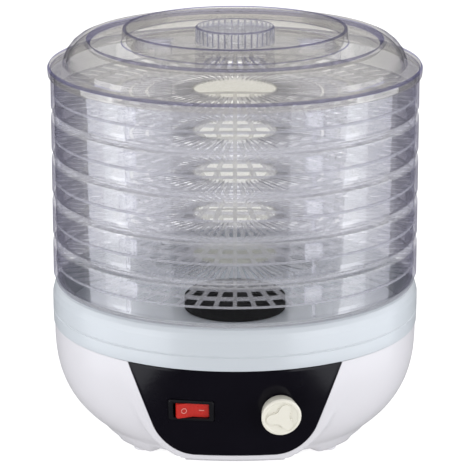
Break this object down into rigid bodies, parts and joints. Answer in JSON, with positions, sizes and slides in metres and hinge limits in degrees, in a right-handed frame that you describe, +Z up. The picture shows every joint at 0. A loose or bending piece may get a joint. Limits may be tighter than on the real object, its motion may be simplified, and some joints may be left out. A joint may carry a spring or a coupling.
{
  "type": "food dehydrator",
  "caption": "Round electric food dehydrator: a fan-heated white base with a black control panel, stacked clear mesh-floored trays and a clear domed lid with a vent knob.",
  "frame": {"origin": "on the floor, under the middle of the base", "axes": "+Z up through the stack of trays; -Y towards the control panel; +X to the panel's right"},
  "size_m": [0.254, 0.2601, 0.283],
  "materials": {
    "clear_plastic": "clear, polished",
    "white_plastic": "semi-gloss moulded",
    "pale_plastic": "semi-gloss moulded",
    "black_plastic": "gloss",
    "red_plastic": "gloss, translucent",
    "ivory_plastic": "satin",
    "steel": "plated",
    "copper": "enamelled winding",
    "brass": "plain",
    "mica": "matt",
    "nylon": "satin",
    "rubber": "matt",
    "lead_sleeve": "sleeved"
  },
  "bodies": {
    "base": {"base_ring": "pale_plastic", "deck": "pale_plastic", "lower_housing": "white_plastic", "bottom_cover": "white_plastic", "control_panel": "black_plastic", "outlet_cap": "black_plastic", "switch_bezel": "black_plastic", "switch_body": "black_plastic", "thermostat_body": "mica", "thermostat_nut": "steel", "heater_duct": "steel", "mica_board_1": "mica", "mica_board_2": "mica", "heater_coil": "steel", "thermal_fuse": "steel", "motor_stator": "steel", "motor_winding": "copper", "motor_bracket_lower": "steel", "motor_bracket_upper": "steel", "bearing_lower": "brass", "bearing_upper": "brass", "motor_hanger": "steel", "motor_screw_1": "steel", "motor_screw_2": "steel", "cover_screw_1": "steel", "cover_screw_2": "steel", "cover_screw_3": "steel", "cover_screw_4": "steel", "foot_1": "rubber", "foot_2": "rubber", "foot_3": "rubber", "foot_4": "rubber", "cord_gland": "rubber", "terminal_block": "nylon", "lead_entry": "rubber", "lead_supply": "lead_sleeve", "lead_switched": "lead_sleeve", "lead_heater": "lead_sleeve", "lead_neutral": "lead_sleeve"},
    "tray_1": {"tray_1": "clear_plastic", "tray_1_floor": "clear_plastic"},
    "tray_2": {"tray_2": "clear_plastic", "tray_2_floor": "clear_plastic"},
    "tray_3": {"tray_3": "clear_plastic", "tray_3_floor": "clear_plastic"},
    "tray_4": {"tray_4": "clear_plastic", "tray_4_floor": "clear_plastic"},
    "tray_5": {"tray_5": "clear_plastic", "tray_5_floor": "clear_plastic"},
    "lid": {"lid": "clear_plastic", "lid_plate": "clear_plastic", "lid_collar": "clear_plastic"},
    "vent": {"vent_knob": "clear_plastic", "vent_shutter": "clear_plastic"},
    "switch_rocker": {"rocker": "red_plastic"},
    "dial": {"temperature_knob": "ivory_plastic", "thermostat_shaft": "brass"},
    "fan_rotor": {"fan": "nylon", "motor_shaft": "steel", "motor_rotor": "steel"}
  },
  "joints": [
    {"name": "tray_1_lift", "type": "slide", "parent": "base", "child": "tray_1", "axis": [0, 0, 1], "range_m": [0, 0.05]},
    {"name": "tray_2_lift", "type": "slide", "parent": "tray_1", "child": "tray_2", "axis": [0, 0, 1], "range_m": [0, 0.05]},
    {"name": "tray_3_lift", "type": "slide", "parent": "tray_2", "child": "tray_3", "axis": [0, 0, 1], "range_m": [0, 0.05]},
    {"name": "tray_4_lift", "type": "slide", "parent": "tray_3", "child": "tray_4", "axis": [0, 0, 1], "range_m": [0, 0.05]},
    {"name": "tray_5_lift", "type": "slide", "parent": "tray_4", "child": "tray_5", "axis": [0, 0, 1], "range_m": [0, 0.05]},
    {"name": "lid_lift", "type": "slide", "parent": "tray_5", "child": "lid", "axis": [0, 0, 1], "range_m": [0, 0.06]},
    {"name": "vent_turn", "type": "hinge", "parent": "lid", "child": "vent", "pos_m": [0, 0, 0.2755], "axis": [0, 0, 1], "range_deg": [0, 45]},
    {"name": "rocker_tip", "type": "hinge", "parent": "base", "child": "switch_rocker", "pos_m": [-0.028, -0.11245, 0.05011], "axis": [-0.0194, -0.1378, 0.9903], "range_deg": [-22, 0]},
    {"name": "dial_turn", "type": "hinge", "parent": "base", "child": "dial", "pos_m": [0.029, -0.11742, 0.0496], "axis": [0.1378, -0.9806, -0.1392], "range_deg": [0, 270]},
    {"name": "fan_spin", "type": "hinge", "parent": "base", "child": "fan_rotor", "pos_m": [0, 0, 0.045], "axis": [0, 0, 1], "continuous": true}
  ]
}
